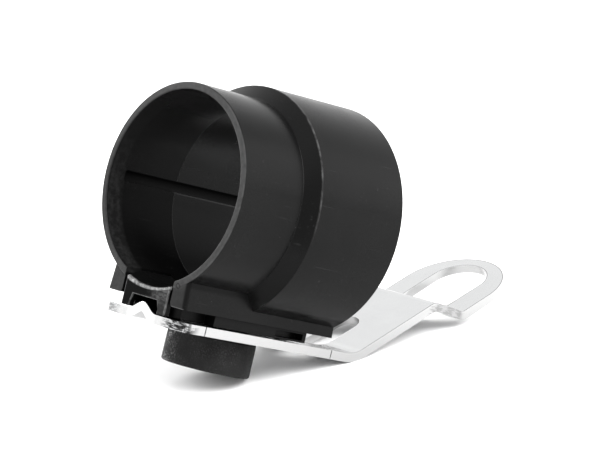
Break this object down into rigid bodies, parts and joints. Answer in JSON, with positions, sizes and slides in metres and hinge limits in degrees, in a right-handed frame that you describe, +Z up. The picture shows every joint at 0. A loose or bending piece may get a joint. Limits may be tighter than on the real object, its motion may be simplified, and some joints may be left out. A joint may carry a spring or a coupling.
{
  "type": "swivel socket bracket",
  "caption": "Black stepped round socket with a sprung latch, turning on a bent bright steel arm with a slotted eye and a round clamp knob.",
  "frame": {"origin": "bottom centre of the whole bracket's box, on the surface it stands on, resting on the knob's rim and the heel of the arm", "axes": "+X to the socket's right seen from behind its mouth, +Y from the socket's mouth towards the eye of the arm, +Z up"},
  "size_m": [0.057, 0.1178, 0.0741],
  "materials": {
    "moulded_black": "satin moulded black, slightly worn",
    "moulded_dark": "matt moulded black",
    "rubber_black": "matt, finely rough",
    "zinc_plated_steel": "bright zinc plated, nearly mirror smooth, with fine scratches",
    "brass": "turned",
    "fibre": "matt vulcanised fibre"
  },
  "bodies": {
    "arm": {"arm_plate": "zinc_plated_steel", "glide_base": "moulded_dark", "rivet_left": "zinc_plated_steel", "rivet_right": "zinc_plated_steel", "pivot_bolt": "zinc_plated_steel", "head_washer": "zinc_plated_steel", "pivot_bush": "brass", "friction_ring": "fibre"},
    "socket": {"socket_body": "moulded_black"},
    "latch": {"latch_tongue": "moulded_black"},
    "clamp_washers": {"thrust_washer": "zinc_plated_steel", "spring_washer": "zinc_plated_steel"},
    "knob": {"knob_body": "rubber_black", "knob_insert": "brass", "foot_pad": "rubber_black"}
  },
  "joints": [
    {"name": "socket_swivel", "type": "hinge", "parent": "arm", "child": "socket", "pos_m": [0, -0.03528, 0.01524], "axis": [0, 0.3574, 0.934], "continuous": true},
    {"name": "latch_flex", "type": "hinge", "parent": "socket", "child": "latch", "pos_m": [0, -0.04295, 0.02358], "axis": [-1, 0, 0], "range_deg": [0, 9], "stiffness_Nm_per_rad": 0.5, "springref_deg": -1.15},
    {"name": "clamp_travel", "type": "slide", "parent": "arm", "child": "clamp_washers", "axis": [0, -0.3574, -0.934], "range_m": [0, 0.001]},
    {"name": "clamp_turn", "type": "hinge", "parent": "clamp_washers", "child": "knob", "pos_m": [0, -0.03814, 0.00777], "axis": [0, -0.3574, -0.934], "range_deg": [0, 360]}
  ],
  "couplings": [
    {"joint": "clamp_turn", "follows": "clamp_travel", "rad_per_m": 6283.2}
  ]
}
